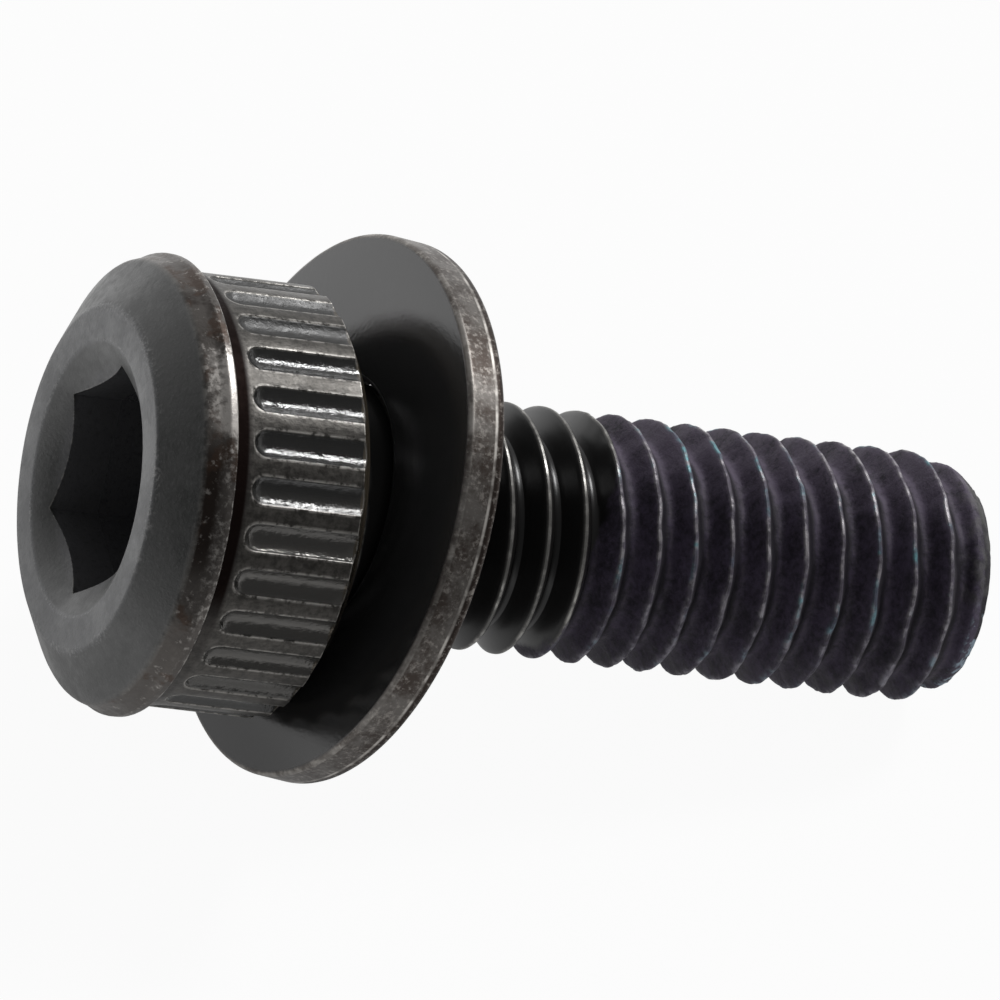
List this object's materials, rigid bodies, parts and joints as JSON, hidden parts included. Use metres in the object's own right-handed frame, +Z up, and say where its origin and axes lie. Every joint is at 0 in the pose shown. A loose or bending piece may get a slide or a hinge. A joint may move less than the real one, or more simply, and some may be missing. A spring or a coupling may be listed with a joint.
{
  "type": "bolt",
  "caption": "Black socket-head bolt with a rounded flange, a fluted neck, a metric threaded shank and a loose flat washer, for clamping one part to another.",
  "frame": {"origin": "on the surface that the bolt lies on, below the middle of its box", "axes": "+X from the head towards the tip, +Z up from the surface, the bolt's axis in the XZ plane and tilted down towards the tip"},
  "size_m": [0.0196, 0.011, 0.0107],
  "materials": {
    "black_steel": "black oxide, satin, with a matt purple-black coating on the thread",
    "worn_black_steel": "black oxide, glossy faces, rim worn to brown-grey steel"
  },
  "bodies": {
    "root": {"screw": "black_steel", "washer": "worn_black_steel"}
  },
  "joints": []
}
